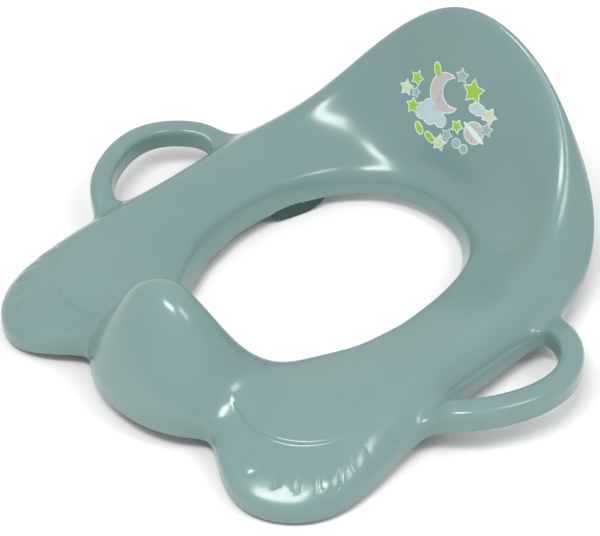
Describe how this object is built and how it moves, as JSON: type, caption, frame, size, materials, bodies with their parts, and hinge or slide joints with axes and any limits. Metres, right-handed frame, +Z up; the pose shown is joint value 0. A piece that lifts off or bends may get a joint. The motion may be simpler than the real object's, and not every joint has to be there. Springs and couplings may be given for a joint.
{
  "type": "child's toilet training seat",
  "caption": "Moulded plastic training seat that rests on an adult toilet seat, with a high backrest, splash guard, side handles and rubber grips under the opening",
  "frame": {"origin": "on the surface that the rubber grips stand on, in the middle of the object", "axes": "+X to the seated child's left, +Y towards the backrest, +Z up"},
  "size_m": [0.4052, 0.3558, 0.1541],
  "materials": {
    "shell": "glossy sage-green polypropylene with a fine moulded ripple",
    "decal": "thin printed film, satin",
    "grip": "matte soft rubber"
  },
  "bodies": {
    "root": {"seat_shell": "shell", "backrest_decal": "decal", "grip_front_left": "grip", "grip_front_right": "grip", "grip_rear_left": "grip", "grip_rear_right": "grip"}
  },
  "joints": []
}
